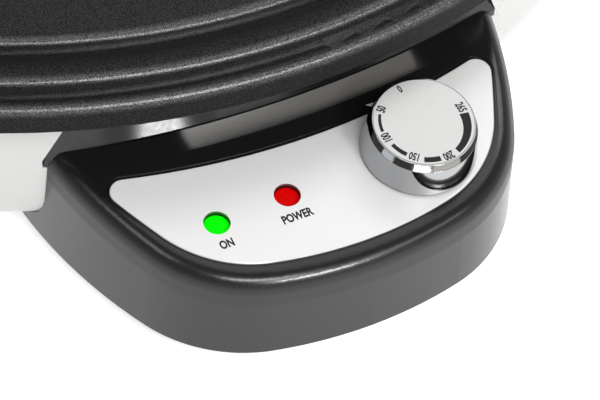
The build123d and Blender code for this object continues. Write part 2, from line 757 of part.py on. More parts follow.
def control_housing():
    shell = housing_block() - pan_side(PAN_GAP)
    shell += housing_block() & top_slab(-HOUSING_ROOF, 0) & tongue_block()
    shell += collar(0, collar_base() - HOUSING_ROOF + 1, PAN_TOP)
    shell -= housing_prism(HOUSING_WALL) & under_top(HOUSING_ROOF)
    shell -= collar(COLLAR_WALL, collar_base() - 2 * HOUSING_ROOF, PAN_TOP - COLLAR_WALL)
    solid = housing_block() & under_top(HOUSING_ROOF / 2)
    for ear in housing_ears():
        shell += (ear & solid) - pan_side(PAN_GAP)
    for spot in cover_screw_spots():
        boss = cyl(BOSS_RADIUS, FOOT_HEIGHT + COVER_SHEET, BIG / 4, spot)
        shell += boss & solid
    for spot in cover_screw_spots():
        low = FOOT_HEIGHT + COVER_SHEET
        shell -= hole(M3, THREAD_GAP, low, low + COVER_SCREW_DEPTH, spot)
    for angle in housing_screw_spots():
        shell -= wall_frame(angle, PAN_RADIUS) * cyl(M4[0] + THREAD_GAP, 0, EAR_SCREW_DEPTH)
    recess = extrude(panel_outline(-PANEL_GAP), BIG / 4) & top_slab(PANEL_PROUD - PANEL_SHEET, BIG / 8)
    lip = extrude(panel_outline(-PANEL_GAP - RECESS_STEP), BIG / 4) & top_slab(-RECESS_STEP_DEPTH, BIG / 8)
    shell -= recess + lip
    for spot in (GREEN_LAMP, RED_LAMP):
        shell -= on_top(spot) * cyl(LAMP_HOLE_RADIUS + 0.1, -2 * HOUSING_ROOF, 1)
    for spot in holder_boss_spots():
        top = -HOUSING_ROOF + 0.5
        shell += on_top(spot) * cyl(HOLDER_BOSS_RADIUS, -HOUSING_ROOF - HOLDER_BOSS_DROP, top)
        shell -= on_top(spot) * cyl(M3[0] + THREAD_GAP, -HOUSING_ROOF - HOLDER_BOSS_DROP, -HOUSING_ROOF)
    shell -= on_top(KNOB_SPOT) * cyl(BUSHING_RADIUS + HOLE_GAP, -2 * HOUSING_ROOF, 1)
    return shell


def housing_cover():
    low = FOOT_HEIGHT
    cover = Pos(0, 0, low) * extrude(housing_outline(HOUSING_WALL + COVER_GAP), COVER_SHEET)
    cover -= pan_side(PAN_GAP + COVER_GAP)
    for spot in cover_screw_spots():
        cover -= hole(M3, HOLE_GAP, low, low + COVER_SHEET, spot)
    return cover


def housing_cover_screws():
    one = screw(M3, COVER_SHEET + COVER_SCREW_DEPTH - END_GAP)
    return [Pos(x, y, FOOT_HEIGHT) * one for x, y in cover_screw_spots()]


def housing_screws():
    inner = PAN_RADIUS - PAN_SHEET
    one = screw(M4, PAN_SHEET + EAR_SCREW_DEPTH - END_GAP)
    return [wall_frame(angle, inner - SEAT_GAP) * one for angle in housing_screw_spots()]


def panel_outline(inset):
    """The control panel in plan, with a hollow back edge that follows the collar."""
    front_arc = FRONT_ARC - PANEL_BORDER - inset
    face = three_arcs(front_arc, PANEL_CORNER_ARC - inset, PANEL_SIDE_ARC - inset)
    middle = PANEL_BACK_ARC - PAN_RADIUS - PANEL_BACK_GAP
    face -= Pos(0, middle) * Circle(PANEL_BACK_ARC + inset)
    back = face.vertices().sort_by(Axis.Y)[-2:]
    return fillet(back, PANEL_CORNER - inset)


def control_panel():
    """The aluminium face plate, set into the housing's top, with its rim bevelled."""
    panel = extrude(panel_outline(0), BIG / 4) & top_slab(PANEL_PROUD - PANEL_SHEET, PANEL_PROUD)
    panel = chamfer(panel.faces().sort_by(Axis(TOP.origin, TOP.z_dir))[-1].edges(), PANEL_BEVEL)
    for spot in (GREEN_LAMP, RED_LAMP):
        panel -= on_top(spot) * cyl(LAMP_HOLE_RADIUS, -2 * PANEL_SHEET, PANEL_SHEET)
    panel -= on_top(KNOB_SPOT) * cyl(BUSHING_RADIUS + HOLE_GAP, -2 * PANEL_SHEET, PANEL_SHEET)
    return panel


# Lamps


def lens(spot):
    """A lamp lens in the roof's hole, with a flange under the roof."""
    top = PANEL_PROUD - LENS_RECESS
    body = cyl(LAMP_HOLE_RADIUS, -HOUSING_ROOF, top)
    body = fillet(body.edges().sort_by(Axis.Z)[-1], 0.5)
    flange = cyl(LAMP_HOLE_RADIUS + LENS_FLANGE_WIDTH, -HOUSING_ROOF - LENS_FLANGE, -HOUSING_ROOF)
    return on_top(spot) * (body + flange)


def indicator_lens_green():
    return lens(GREEN_LAMP)


def indicator_lens_red():
    return lens(RED_LAMP)


def neon_top():
    return -HOUSING_ROOF - LENS_FLANGE - 0.3


def neon_lamps():
    lamps = []
    for spot in (GREEN_LAMP, RED_LAMP):
        lamp = cyl(NEON_RADIUS, neon_top() - NEON_LENGTH, neon_top())
        lamps.append(on_top(spot) * fillet(lamp.edges().sort_by(Axis.Z)[-1], NEON_RADIUS * 0.7))
    return lamps


def lamp_middle():
    return (GREEN_LAMP[0] + RED_LAMP[0]) / 2, (GREEN_LAMP[1] + RED_LAMP[1]) / 2


def holder_boss_spots():
    x, setback = lamp_middle()
    reach = (RED_LAMP[0] - GREEN_LAMP[0]) / 2 + HOLDER_BOSS_REACH
    return (x - reach, setback), (x + reach, setback)


def holder_frame():
    """The frame under the middle of the two lamps, at the ends of the housing's bosses."""
    frame = on_top(lamp_middle())
    frame.origin = frame.from_local_coords((0, 0, -HOUSING_ROOF - HOLDER_BOSS_DROP))
    return frame


def lamp_holder():
    """A bar under the two lamps, with a cup round each and an ear at each end."""
    reach = (RED_LAMP[0] - GREEN_LAMP[0]) / 2
    length = 2 * (reach + HOLDER_BOSS_REACH + HOLDER_BOSS_RADIUS)
    bar = block(length, HOLDER_WIDTH, -HOLDER_SHEET, 0)
    bar = fillet(bar.edges().filter_by(Axis.Z), HOLDER_WIDTH / 4)
    holder = holder_frame() * bar
    floor = neon_top() - NEON_LENGTH
    cup_top = -HOUSING_ROOF - HOLDER_BOSS_DROP
    for spot in (GREEN_LAMP, RED_LAMP):
        holder += on_top(spot) * cyl(NEON_RADIUS + 1.4, floor - HOLDER_SHEET, cup_top)
    for spot in (GREEN_LAMP, RED_LAMP):
        holder -= on_top(spot) * cyl(NEON_RADIUS + SEAT_GAP, floor, cup_top + 1)
    for spot in holder_boss_spots():
        holder -= on_top(spot) * cyl(M3[0] + HOLE_GAP, cup_top - HOLDER_SHEET, cup_top)
    return holder


def lamp_holder_screws():
    start = -HOUSING_ROOF - HOLDER_BOSS_DROP - HOLDER_SHEET
    one = screw(M3, HOLDER_SHEET + HOLDER_BOSS_DROP - END_GAP)
    return [on_top(spot) * Pos(0, 0, start) * one for spot in holder_boss_spots()]


# Thermostat and knob


def stat_top():
    return -HOUSING_ROOF


def thermostat_body():
    """The switch body under the roof, with two tabs at its back."""
    low = stat_top() - STAT_HEIGHT
    body = block(STAT_WIDTH, STAT_DEPTH, low, stat_top())
    body = fillet(body.edges().filter_by(Axis.Z), 3.0)
    body = chamfer(body.faces().sort_by(Axis.Z)[0].edges(), 0.8)
    for side in (-1, 1):
        tab_y = STAT_DEPTH / 2 + TAB_LENGTH / 2
        low_tab = stat_top() - TAB_DROP - TAB_SHEET / 2
        tab = block(TAB_WIDTH, TAB_LENGTH, low_tab, low_tab + TAB_SHEET, (side * TAB_SPACING / 2, tab_y))
        body += tab
    body -= cyl(SHAFT_RADIUS + RUNNING_GAP, stat_top() - STAT_BORE_DEPTH, stat_top())
    return on_top(KNOB_SPOT) * body


def thermostat_bushing():
    bush = cyl(BUSHING_RADIUS, stat_top(), BUSHING_RISE)
    bush = chamfer(bush.edges().sort_by(Axis.Z)[-1], 0.5)
    return on_top(KNOB_SPOT) * (bush - cyl(SHAFT_RADIUS + RUNNING_GAP, stat_top(), BUSHING_RISE))


def thermostat_nut():
    nut = hex_nut(*BUSHING_NUT, BUSHING_RADIUS + THREAD_GAP)
    return on_top(KNOB_SPOT) * Pos(0, 0, PANEL_PROUD) * nut


def shaft_top():
    return KNOB_HEIGHT - FACE_SHEET - KNOB_WALL * 0.6


def shaft_solid(gap, low, high):
    """The thermostat's shaft, with a flat along the stretch inside the knob."""
    radius = SHAFT_RADIUS + gap
    rod = cyl(radius, low, high)
    flat_low = BUSHING_RISE + END_GAP
    cut = block(2 * radius, radius, flat_low, high, (0, SHAFT_RADIUS - SHAFT_FLAT + gap + radius / 2))
    return rod - cut


def thermostat_shaft():
    low = stat_top() - STAT_BORE_DEPTH + END_GAP
    return on_top(KNOB_SPOT) * shaft_solid(0, low, shaft_top() - END_GAP)


def corners_at(face, radius):
    return [corner for corner in face.vertices() if abs(corner.X - radius) < 0.01]


def control_knob():
    """A hollow turned knob with a boss that takes the shaft."""
    foot = PANEL_PROUD + KNOB_LIFT
    inside_top = KNOB_HEIGHT - FACE_SHEET - 2 * KNOB_WALL
    inner_foot = KNOB_FOOT_RADIUS - KNOB_WALL
    inner_top = KNOB_WAIST_RADIUS - KNOB_WALL
    outline = Polyline(
        (0, inside_top),
        (0, KNOB_HEIGHT - FACE_SHEET),
        (KNOB_FACE_RADIUS - FACE_LIP, KNOB_HEIGHT - FACE_SHEET),
        (KNOB_FACE_RADIUS - FACE_LIP, KNOB_HEIGHT),
        (KNOB_FACE_RADIUS, KNOB_HEIGHT),
        (KNOB_WAIST_RADIUS, KNOB_HEIGHT - KNOB_BEVEL),
        (KNOB_FOOT_RADIUS, foot),
        (inner_foot, foot),
        (inner_top, inside_top),
        close=True,
    )
    face = make_face(outline)
    face = fillet(corners_at(face, KNOB_WAIST_RADIUS), KNOB_SHOULDER_ROUND)
    face = fillet(corners_at(face, KNOB_FOOT_RADIUS), KNOB_FOOT_ROUND)
    knob = revolve(Plane.XZ * face, Axis.Z)
    knob += cyl(KNOB_BOSS_RADIUS, BUSHING_RISE + END_GAP, inside_top)
    knob -= shaft_solid(GROOVE_GAP / 2, BUSHING_RISE, shaft_top())
    knob -= spring_room(GROOVE_GAP / 2)
    return on_top(KNOB_SPOT) * knob


def spring_room(gap):
    """The space between the shaft's flat and the knob's boss, where the leaf spring sits."""
    low = BUSHING_RISE + 2 * END_GAP
    high = KNOB_HEIGHT - FACE_SHEET - 2 * KNOB_WALL
    near = SHAFT_RADIUS - SHAFT_FLAT
    width = SPRING_WIDTH + 2 * gap
    return block(width, SPRING_SHEET + 2 * gap, low - gap, high + gap, (0, near + gap + SPRING_SHEET / 2))


def knob_spring():
    return on_top(KNOB_SPOT) * Pos(0, GROOVE_GAP / 2, 0) * spring_room(0)


def knob_face():
    radius = KNOB_FACE_RADIUS - FACE_LIP - 0.05
    return on_top(KNOB_SPOT) * cyl(radius, KNOB_HEIGHT - FACE_SHEET, KNOB_HEIGHT)


# Wiring


def block_face():
    """Where the wires enter the terminal block: its front face and its poles' height."""
    return BLOCK_Y - BLOCK[1] / 2, PAN_FLOOR + POLE_HEIGHT


def block_screw_spots():
    return (-POLE_SPACING / 2, BLOCK_Y), (POLE_SPACING / 2, BLOCK_Y)


def terminal_screw_spots():
    return [(pole * POLE_SPACING, BLOCK_Y + side * BLOCK[1] / 4) for pole in (-1, 0, 1) for side in (-1, 1)]


def terminal_block():
    """A three-pole block with a bore through each pole and two screw wells over it."""
    width, depth, height = BLOCK
    body = block(width, depth, PAN_FLOOR, PAN_FLOOR + height, (0, BLOCK_Y))
    body = fillet(body.edges().filter_by(Axis.Z), 1.5)
    bore_radius = WIRE_RADIUS + GROOVE_GAP
    for pole in (-1, 0, 1):
        origin = (pole * POLE_SPACING, BLOCK_Y, PAN_FLOOR + POLE_HEIGHT)
        frame = Plane(origin=origin, x_dir=(1, 0, 0), z_dir=(0, 1, 0))
        body -= frame * cyl(bore_radius, -depth, depth)
    for spot in terminal_screw_spots():
        body -= cyl(WELL_RADIUS, PAN_FLOOR + POLE_HEIGHT, PAN_FLOOR + height, spot)
    for spot in block_screw_spots():
        body -= hole(M3, THREAD_GAP, PAN_FLOOR, PAN_FLOOR + BLOCK_SCREW_DEPTH, spot)
    return body


def terminal_screws():
    screws = []
    low = PAN_FLOOR + POLE_HEIGHT + WIRE_RADIUS
    high = PAN_FLOOR + BLOCK[2] - END_GAP
    for spot in terminal_screw_spots():
        one = cyl(WELL_RADIUS - THREAD_GAP, low, high, spot)
        one -= block(2 * WELL_RADIUS, 0.5, high - 0.8, high, spot)
        screws.append(one)
    return screws


def block_screws():
    one = screw(M3, PAN_SHEET + BLOCK_SCREW_DEPTH - END_GAP)
    return [Pos(x, y, FOOT_HEIGHT) * one for x, y in block_screw_spots()]


def barrel_width():
    return 2 * WIRE_RADIUS + TAB_SHEET


def earth_spot():
    return EARTH_SPOT[0], EARTH_Y


def earth_tag():
    """A ring tag on the pan's floor with a crimped barrel for the wire."""
    x, y = earth_spot()
    tag = cyl(TAG_RADIUS, PAN_FLOOR, PAN_FLOOR + TAB_SHEET, earth_spot())
    width = barrel_width()
    middle = x + TAG_RADIUS + TAG_BARREL / 2 - 0.6
    tag += block(TAG_BARREL, width, PAN_FLOOR, PAN_FLOOR + width, (middle, y))
    return tag - hole(M4, HOLE_GAP, PAN_FLOOR, PAN_FLOOR + TAB_SHEET, earth_spot())


def tag_end():
    x, y = earth_spot()
    return x + TAG_RADIUS + TAG_BARREL - 0.6, y, PAN_FLOOR + barrel_width() / 2


def earth_screw():
    top = PAN_FLOOR + TAB_SHEET
    return Pos(*earth_spot(), top) * Rot(180, 0, 0) * screw(M4, top - FOOT_HEIGHT / 2)


def connector():
    """A push-on connector that opens towards -Y, with its mouth at y = 0."""
    width, length, height = CONNECTOR
    body = block(width, length, -height / 2, height / 2, (0, length / 2))
    return fillet(body.edges().filter_by(Axis.Y), height / 4)


def stat_tab_frame(side):
    """A frame at a thermostat tab, with y along the tab away from the body."""
    frame = on_top(KNOB_SPOT)
    frame.origin = frame.from_local_coords((side * TAB_SPACING / 2, STAT_DEPTH / 2, stat_top() - TAB_DROP))
    return frame


def tab_connectors():
    """The two connectors on the thermostat's tabs."""
    width = TAB_WIDTH + 2 * GROOVE_GAP
    half = TAB_SHEET / 2 + GROOVE_GAP
    slot = block(width, TAB_LENGTH, -half, half, (0, TAB_LENGTH / 2 + GROOVE_GAP))
    sleeve = Pos(0, END_GAP, 0) * connector() - slot
    return [stat_tab_frame(side) * sleeve for side in (-1, 1)]


def stat_wire_end(side, reach=0.0):
    """A point straight behind the connector on a thermostat tab, where its wire leaves."""
    return stat_tab_frame(side).from_local_coords((0, END_GAP + CONNECTOR[1] + reach, 0))


def pin_connectors():
    """The two connectors on the element's pins."""
    found = []
    for side in (-1, 1):
        bore = along_tail(PIN_RADIUS + GROOVE_GAP, side, BEAD_LENGTH, PIN_LENGTH + GROOVE_GAP)
        mouth = Plane(origin=tail_end(side, BEAD_LENGTH + END_GAP), x_dir=(-1, 0, 0), z_dir=(0, 0, 1))
        found.append(mouth * connector() - bore)
    return found


def pin_wire_end(side):
    """Where a wire leaves the side of the connector on an element pin."""
    x, y, z = tail_end(side, BEAD_LENGTH + END_GAP + CONNECTOR[1] / 2)
    return x + side * CONNECTOR[0] / 2, y, z


def pole_wire_end(pole):
    y, z = block_face()
    return pole * POLE_SPACING, y + 3.0, z


def fuse_end(side):
    return FUSE_SPOT[0] + side * FUSE_LENGTH / 2, FUSE_Y, fuse_z()


def live_wire():
    x, y, z = stat_wire_end(-1)
    front, height = block_face()
    route = [
        pole_wire_end(1),
        (POLE_SPACING, front - 12, height),
        (POLE_SPACING + 7, front - 26, FLOOR_RUN),
        (34, 58, FLOOR_RUN),
        (40, 6, FLOOR_RUN),
        (36, -48, FLOOR_RUN),
        (27, 76 - PAN_RADIUS, FLOOR_RUN),
        (18.5, 43 - PAN_RADIUS, FLOOR_RUN + 3),
        (x, y + 18, z - 6),
        stat_wire_end(-1, 8),
        (x, y, z),
    ]
    return wire(route, WIRE_RADIUS)


def neutral_wire():
    x, y, z = fuse_end(-1)
    front, height = block_face()
    route = [
        pole_wire_end(0),
        (0, front - 12, height),
        (-8, front - 27, FLOOR_RUN),
        (-40, 62, FLOOR_RUN),
        (-55, 12, FLOOR_RUN),
        (-57, -42, FLOOR_RUN),
        (-53, 82 - PAN_RADIUS, FLOOR_RUN),
        (-56, 46 - PAN_RADIUS, FLOOR_RUN + 5),
        (x - 6, y - 11, SHIELD_Z - 10),
        (x - 9, y - 12, SHIELD_Z + 5),
        (x - 11.5, y - 6, z - 7),
        (x - 9, y, z),
        (x, y, z),
    ]
    return wire(route, WIRE_RADIUS)


def heater_wire():
    x, y, z = pin_wire_end(1)
    ex, ey, ez = stat_wire_end(1)
    route = [
        (x, y, z),
        (x + 9, y, z),
        (ex + 1.8, y - 0.5, z - 9),
        (ex + 1.9, y - 1, SHIELD_Z - 1),
        stat_wire_end(1, 11),
        (ex, ey, ez),
    ]
    return wire(route, WIRE_RADIUS)


def return_wire():
    x, y, z = pin_wire_end(-1)
    ex, ey, ez = fuse_end(1)
    route = [(x, y, z), (x - 7, y, z), (ex + 7, ey, ez), (ex, ey, ez)]
    return wire(route, WIRE_RADIUS)


def earth_wire():
    x, y, z = tag_end()
    front, height = block_face()
    route = [pole_wire_end(-1), (-POLE_SPACING, front - 9, height), (x + 6, y, z), (x, y, z)]
    return wire(route, WIRE_RADIUS)


def lamp_leads():
    """Two leads from under each lamp to the thermostat's side."""
    leads = []
    start = neon_top() - NEON_LENGTH - HOLDER_SHEET
    for spot, drop, aside in ((GREEN_LAMP, 3.1, -5.0), (RED_LAMP, 1.6, 5.0)):
        reach = KNOB_SPOT[0] - STAT_WIDTH / 2 - spot[0]
        for side in (-1, 1):
            y = side * LAMP_LEAD_GAP / 2
            route = [
                (0, y, start),
                (0, y, start - drop),
                (reach - 12, y, start - drop),
                (reach - 6, y + aside, start + 4.0),
                (reach, y + aside, start + 4.0),
            ]
            leads.append(on_top(spot) * wire(route, LAMP_LEAD_RADIUS))
    return leads


def capillary_tube():
    """The thin tube from the sensor bulb to the thermostat's body."""
    z = bulb_z()
    stat = on_top(KNOB_SPOT)
    depth = stat_top() - 3.4
    ex, ey, ez = stat.from_local_coords((0, STAT_DEPTH / 2, depth))
    route = [
        (0, -BULB_FRONT, z),
        (0, -ELEMENT_TAIL_END + 4, z),
        (2.5, -ELEMENT_TAIL_END - 13, z - 4),
        (9, -ELEMENT_TAIL_END - 18, z - 15),
        (17, ey + 18.5, ez + 7),
        stat.from_local_coords((-0.6, STAT_DEPTH / 2 + 11, depth)),
        stat.from_local_coords((0, STAT_DEPTH / 2 + 4, depth)),
        (ex, ey, ez),
    ]
    return wire(route, CAPILLARY_RADIUS)


NODES = {
    "cooking_plate": cooking_plate,
    "heating_element": heating_element,
    "element_beads": element_beads,
    "element_pins": element_pins,
    "element_clamps": element_clamps,
    "element_clamp_screws": element_clamp_screws,
    "heat_shield": heat_shield,
    "lower_spacers": lower_spacers,
    "upper_spacers": upper_spacers,
    "plate_screws": plate_screws,
    "sensor_bulb": sensor_bulb,
    "sensor_clip": sensor_clip,
    "sensor_clip_screws": sensor_clip_screws,
    "thermal_fuse": thermal_fuse,
    "fuse_clip": fuse_clip,
    "fuse_clip_screw": fuse_clip_screw,
    "base_pan": base_pan,
    "rubber_feet": rubber_feet,
    "foot_screws": foot_screws,
    "foot_nuts": foot_nuts,
    "cord_bush": cord_bush,
    "control_housing": control_housing,
    "housing_cover": housing_cover,
    "housing_cover_screws": housing_cover_screws,
    "housing_screws": housing_screws,
    "control_panel": control_panel,
    "indicator_lens_green": indicator_lens_green,
    "indicator_lens_red": indicator_lens_red,
    "neon_lamps": neon_lamps,
    "lamp_holder": lamp_holder,
    "lamp_holder_screws": lamp_holder_screws,
    "thermostat_body": thermostat_body,
    "thermostat_bushing": thermostat_bushing,
    "thermostat_nut": thermostat_nut,
    "thermostat_shaft": thermostat_shaft,
    "control_knob": control_knob,
    "knob_spring": knob_spring,
    "knob_face": knob_face,
    "terminal_block": terminal_block,
    "terminal_screws": terminal_screws,
    "block_screws": block_screws,
    "earth_tag": earth_tag,
    "earth_screw": earth_screw,
    "tab_connectors": tab_connectors,
    "pin_connectors": pin_connectors,
    "live_wire": live_wire,
    "neutral_wire": neutral_wire,
    "heater_wire": heater_wire,
    "return_wire": return_wire,
    "earth_wire": earth_wire,
    "lamp_leads": lamp_leads,
    "capillary_tube": capillary_tube,
}

os.makedirs("parts", exist_ok=True)
for name, make in NODES.items():
    made = make()
    pieces = made if isinstance(made, list) else [made]
    placed = [Pos(0, PLATE_Y, 0) * piece for piece in pieces]
    export_step(placed[0] if len(placed) == 1 else Compound(children=placed), f"parts/{name}.step")
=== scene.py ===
import json
import math

import bmesh
import bpy
from mathutils import Matrix, Vector


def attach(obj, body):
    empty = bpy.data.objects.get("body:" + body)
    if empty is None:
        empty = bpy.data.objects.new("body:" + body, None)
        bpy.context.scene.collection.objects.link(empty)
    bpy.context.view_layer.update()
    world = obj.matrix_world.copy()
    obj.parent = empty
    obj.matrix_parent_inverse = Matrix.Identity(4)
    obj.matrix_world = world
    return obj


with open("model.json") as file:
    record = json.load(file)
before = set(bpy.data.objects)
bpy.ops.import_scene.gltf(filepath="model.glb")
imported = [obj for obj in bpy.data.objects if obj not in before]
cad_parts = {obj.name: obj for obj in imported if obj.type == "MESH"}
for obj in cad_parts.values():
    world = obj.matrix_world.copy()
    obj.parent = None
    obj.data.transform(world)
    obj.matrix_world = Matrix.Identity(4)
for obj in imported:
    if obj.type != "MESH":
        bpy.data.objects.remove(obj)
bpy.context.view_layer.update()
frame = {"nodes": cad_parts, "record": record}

# Camera, fitted to the photograph: metres, in the CAD's frame
CAMERA_PLACE = Vector((-0.257016, -0.596514, 0.637274))
CAMERA_RIGHT = Vector((0.89405825, -0.44410996, 0.05853366))
CAMERA_UP = Vector((0.31455748, 0.7154701, 0.62382379))
CAMERA_BACK = Vector((-0.31892544, -0.53932261, 0.77937006))
SENSOR = 36.0
LENS = 197.16

# The housing's top plane, the panel and the knob on it, in metres
TILT = math.radians(6.0)
TOP_NORMAL = Vector((0, -math.sin(TILT), math.cos(TILT)))
TOP_BACK = Vector((0, math.cos(TILT), math.sin(TILT)))
FRONT_Y = -0.201
FRONT_TOP = 0.0304
TOP_LEVEL = TOP_NORMAL.dot(Vector((0, FRONT_Y, FRONT_TOP)))
PANEL_PROUD = 0.0002
KNOB_X = 0.0233
KNOB_SETBACK = 0.02555
KNOB_HEIGHT = 0.0111
# Heights over the top plane between which the painted shade on the panel's cut edge fades into its face
EDGE_SHADE_FADE = (PANEL_PROUD - 0.0003, PANEL_PROUD - 0.0001)
# The knob's bevel starts and ends this far under its top, and the painted shadow at its foot is this
# high
KNOB_BEVEL = 0.0022
KNOB_LIP = 0.0002
KNOB_FOOT_SHADOW = 0.0010
KNOB_BLUR = 0.0001
# The false slope that leans the shading of the knob's bevel back
BEVEL_LEAN = -0.86
# Thickness of the print
INK = 0.00004


def matrix_of(x_side, y_side, z_side, place):
    """A matrix from its three sides and its place."""
    matrix = Matrix.Identity(4)
    for column, side in enumerate((x_side, y_side, z_side)):
        for row in range(3):
            matrix[row][column] = side[row]
    matrix.translation = place
    return matrix


def on_top(x, setback, height=0.0):
    """A matrix on the housing's top plane: x right, y up the slope, z square to it."""
    y = FRONT_Y + setback
    z = FRONT_TOP + setback * math.tan(TILT)
    place = Vector((x, y, z)) + TOP_NORMAL * height
    return matrix_of(Vector((1, 0, 0)), TOP_BACK, TOP_NORMAL, place)


# The plate's axis and the radii of its step edges, in metres, and where their painted highlights and
# shade start and end
PLATE_CENTRE_Y = 0.0185
STEP_EDGES = (0.1652, 0.1754, 0.1809)
TONES_START = 0.1572
TONES_END = 0.1889
# Painted light on the coat: how pale it is on the flats, and at each distance outwards from a step's
# edge, with a painted highlight along the edge and painted shade on the riser and the step's foot
FLAT_TONE = 0.28
EDGE_HIGHLIGHT_AND_SHADE = ((-0.0022, FLAT_TONE), (-0.0009, 1.0), (0.0000, 1.0), (0.0005, 0.12), (0.0028, 0.10))

# The arc where the collar rises from the housing's top, in metres, and the soft hollows beside it: each
# has a width, a depth and a span (from x, to x, blur)
CREASE_CENTRE_Y = 0.1449
CREASE_RADIUS = 0.296
COLLAR_HOLLOW = 0.0036
COLLAR_SINK = 0.0036
COLLAR_SPAN = (-0.042, -0.022, 0.008)
TOP_HOLLOW = 0.0060
TOP_SINK = 0.00364
TOP_SPAN = (-0.029, 0.036, 0.003)
# The stretch of the front edge's round that is less polished: from and to height over the top, and blur
NOSE_SPAN = (-0.0080, -0.0018, 0.0010)
NOSE_ROUGHER = 0.22
# Painted light: the panel's sheet is a little darker towards the front and paler at the back, where the
# plate shades it
PANEL_BACK_Y = -0.155
PANEL_FRONT_Y = -0.195
PANEL_BACK_PAINTED_TONE = (0.88, 0.88, 0.88)
PANEL_FRONT_PAINTED_TONE = (0.81, 0.81, 0.81)

# Material nodes


def fill_ramp(ramp, stops):
    """Gives a colour ramp its stops, each a spot and a colour or a grey."""
    while len(ramp.elements) < len(stops):
        ramp.elements.new(0.5)
    for element, (spot, colour) in zip(ramp.elements, stops):
        element.position = spot
        shade = colour if isinstance(colour, tuple) else (colour,) * 3
        element.color = (*shade, 1)


def darker(colour, share):
    return tuple(channel * share for channel in colour)


class Maker:
    """Builds one material's node tree on a Principled shader."""

    def __init__(self, name, **sockets):
        self.material = bpy.data.materials.new(name)
        self.material.use_nodes = True
        self.tree = self.material.node_tree
        self.shader = self.tree.nodes["Principled BSDF"]
        for key, value in sockets.items():
            self.shader.inputs[key.replace("_", " ")].default_value = value

    def node(self, kind, links=None, **values):
        made = self.tree.nodes.new(kind)
        for key, value in values.items():
            if hasattr(made, key):
                setattr(made, key, value)
            else:
                made.inputs[key.replace("_", " ")].default_value = value
        for key, source in (links or {}).items():
            self.tree.links.new(source, made.inputs[key])
        return made

    def link(self, source, socket):
        self.tree.links.new(source, self.shader.inputs[socket])

    def place(self, scale=(1, 1, 1)):
        """Position in the piece's own frame, in metres, times scale."""
        coordinates = self.node("ShaderNodeTexCoord")
        mapping = self.node("ShaderNodeMapping", {"Vector": coordinates.outputs["Object"]})
        mapping.inputs["Scale"].default_value = scale
        return mapping.outputs["Vector"]

    def noise(self, scale, detail=2.0, roughness=0.5, at=None):
        at = at or self.place()
        made = self.node("ShaderNodeTexNoise", {"Vector": at})
        made.inputs["Scale"].default_value = scale
        made.inputs["Detail"].default_value = detail
        made.inputs["Roughness"].default_value = roughness
        return made.outputs["Fac"]

    def ramp(self, source, stops):
        """A colour by the source's value."""
        made = self.node("ShaderNodeValToRGB", {"Fac": source})
        fill_ramp(made.color_ramp, stops)
        return made.outputs["Color"]

    def mix(self, factor, first, second):
        made = self.node("ShaderNodeMix", data_type="RGBA")
        self.tree.links.new(factor, made.inputs[0])
        for socket, value in ((6, first), (7, second)):
            if isinstance(value, tuple):
                made.inputs[socket].default_value = (*value, 1)
            else:
                self.tree.links.new(value, made.inputs[socket])
        return made.outputs[2]

    def spread(self, source, low, high):
        """The source's range from 0 to 1, moved to low and high."""
        made = self.node("ShaderNodeMapRange", {"Value": source})
        made.inputs["To Min"].default_value = low
        made.inputs["To Max"].default_value = high
        return made.outputs["Result"]

    def share(self, source, start, end):
        """How far the source is on its way from start to end, from 0 to 1."""
        made = self.node("ShaderNodeMapRange", {"Value": source})
        made.inputs["From Min"].default_value = start
        made.inputs["From Max"].default_value = end
        return made.outputs["Result"]

    def maths(self, operation, source, value):
        made = self.node("ShaderNodeMath", {0: source}, operation=operation)
        made.inputs[1].default_value = value
        return made.outputs[0]

    def sides(self):
        """Position in the piece's own frame, with an output for each of X, Y and Z."""
        coordinates = self.node("ShaderNodeTexCoord")
        return self.node("ShaderNodeSeparateXYZ", {0: coordinates.outputs["Object"]})

    def lift(self):
        """Height over the housing's top plane."""
        made = self.node("ShaderNodeVectorMath", {0: self.place()}, operation="DOT_PRODUCT")
        made.inputs[1].default_value = TOP_NORMAL
        return self.maths("SUBTRACT", made.outputs["Value"], TOP_LEVEL)

    def reach_from(self, centre_y, start=0.0, end=1.0):
        """Distance from an upright axis at x = 0, as a share of the way from start to end."""
        split = self.sides()
        across = self.maths("SUBTRACT", split.outputs["Y"], centre_y)
        flat = self.node("ShaderNodeCombineXYZ", {0: split.outputs["X"], 1: across})
        reach = self.node("ShaderNodeVectorMath", {0: flat.outputs[0]}, operation="LENGTH")
        return self.share(reach.outputs["Value"], start, end)

    def hollow(self, source, start, end, depth, bend):
        """Nothing at start, depth at end, with a slope that grows towards end; bend says how late."""
        bent = self.maths("POWER", self.share(source, start, end), bend)
        return self.maths("MULTIPLY", bent, depth)

    def window(self, source, start, end, blur):
        """1 between start and end, and 0 outside, with soft sides."""
        rise = self.node("ShaderNodeMapRange", {"Value": source}, interpolation_type="SMOOTHSTEP")
        rise.inputs["From Min"].default_value = start - blur
        rise.inputs["From Max"].default_value = start + blur
        fall = self.node("ShaderNodeMapRange", {"Value": source}, interpolation_type="SMOOTHSTEP")
        fall.inputs["From Min"].default_value = end + blur
        fall.inputs["From Max"].default_value = end - blur
        sides = {0: rise.outputs["Result"], 1: fall.outputs["Result"]}
        return self.node("ShaderNodeMath", sides, operation="MULTIPLY").outputs[0]

    def bump(self, source, distance, strength=1.0, under=None):
        """A normal bent by the source as a height; strength is a number or an output."""
        made = self.node("ShaderNodeBump", {"Height": source})
        made.inputs["Distance"].default_value = distance
        if isinstance(strength, float):
            made.inputs["Strength"].default_value = strength
        else:
            self.tree.links.new(strength, made.inputs["Strength"])
        if under is not None:
            self.tree.links.new(under, made.inputs["Normal"])
        return made.outputs["Normal"]


